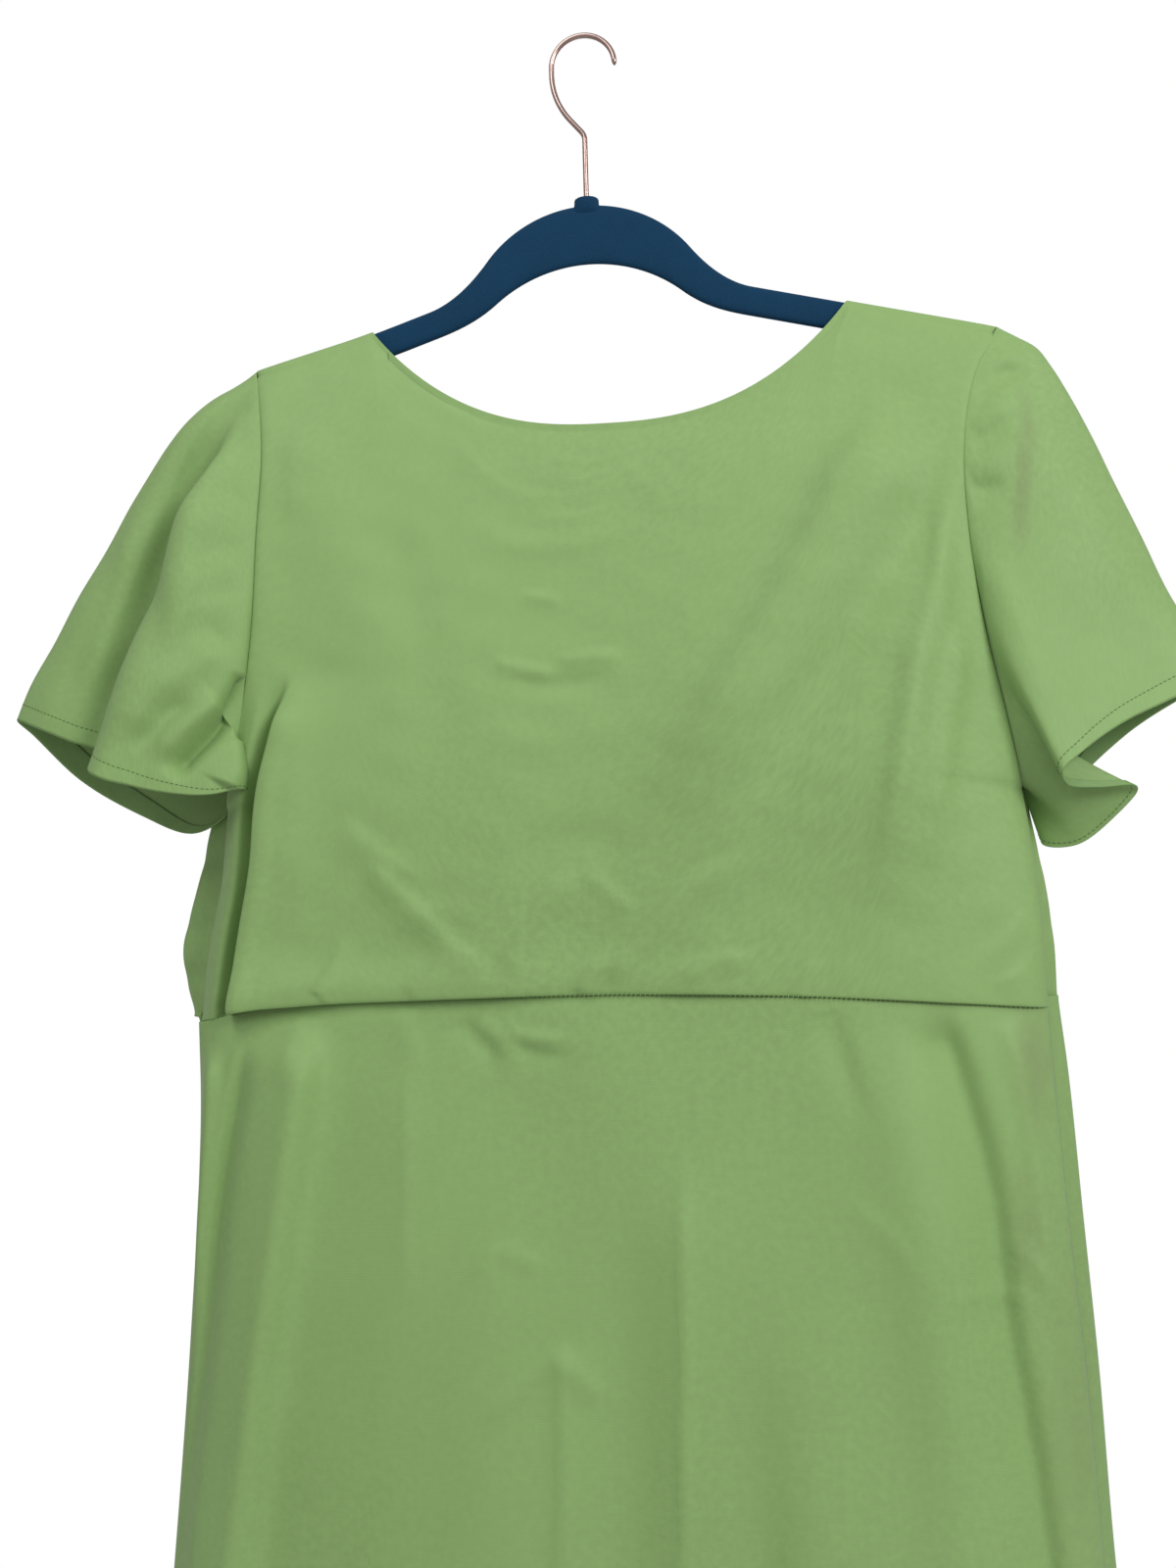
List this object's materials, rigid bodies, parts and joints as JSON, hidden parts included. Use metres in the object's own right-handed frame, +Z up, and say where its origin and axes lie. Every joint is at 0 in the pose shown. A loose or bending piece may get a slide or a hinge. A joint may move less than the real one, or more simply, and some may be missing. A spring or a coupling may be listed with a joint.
{
  "type": "gown on hanger",
  "caption": "Short-sleeved, round-necked satin gown with a high waist seam and flared skirt, hanging on a flocked hanger with a swivel wire hook.",
  "frame": {"origin": "the top of the inside of the crook, where the hook rests on its rail", "axes": "+Z up; +X to the right when the gown's back is looked at; +Y the way the wearer would face; the hanger lies in the plane Y = 0"},
  "size_m": [0.7947, 0.1908, 1.4216],
  "materials": {
    "satin": "satin weave, soft sheen",
    "satin_trim": "inside of the same satin, duller",
    "hanger_flock": "flocked, velvet-like",
    "hook_wire": "polished rose-gold plating",
    "label": "woven ribbon, blank"
  },
  "bodies": {
    "hook": {"hook_wire": "hook_wire", "hook_swage": "hook_wire"},
    "hanger_and_bodice": {"hanger_body": "hanger_flock", "bodice_back": "satin", "bodice_front": "satin", "neck_facing_back": "satin_trim", "neck_facing_front": "satin_trim", "waist_stay_back": "satin_trim", "waist_stay_front": "satin_trim", "armhole_binding_left": "satin_trim", "armhole_binding_right": "satin_trim", "bodice_side_seam_left": "satin_trim", "bodice_side_seam_right": "satin_trim", "neck_label": "label"},
    "sleeve_left": {"sleeve_left": "satin", "sleeve_hem_left": "satin_trim"},
    "sleeve_right": {"sleeve_right": "satin", "sleeve_hem_right": "satin_trim"},
    "skirt": {"skirt_back": "satin", "skirt_front": "satin", "skirt_hem_back": "satin_trim", "skirt_hem_front": "satin_trim", "skirt_side_seam_left": "satin_trim", "skirt_side_seam_right": "satin_trim", "care_label": "label"}
  },
  "joints": [
    {"name": "hook_swivel", "type": "hinge", "parent": "hook", "child": "hanger_and_bodice", "pos_m": [0, 0, -0.1115], "axis": [0, 0, 1], "continuous": true},
    {"name": "sleeve_left_swing", "type": "hinge", "parent": "hanger_and_bodice", "child": "sleeve_left", "pos_m": [-0.25592, 0, -0.514], "axis": [0.0809, 0, 0.9967], "range_deg": [-30, 30], "stiffness_Nm_per_rad": 0.02},
    {"name": "sleeve_right_swing", "type": "hinge", "parent": "hanger_and_bodice", "child": "sleeve_right", "pos_m": [0.26808, 0, -0.514], "axis": [0.0527, 0, -0.9986], "range_deg": [-30, 30], "stiffness_Nm_per_rad": 0.02},
    {"name": "skirt_sway", "type": "hinge", "parent": "hanger_and_bodice", "child": "skirt", "pos_m": [0.004, 0, -0.65], "axis": [1, 0, 0], "range_deg": [-8, 8]}
  ]
}
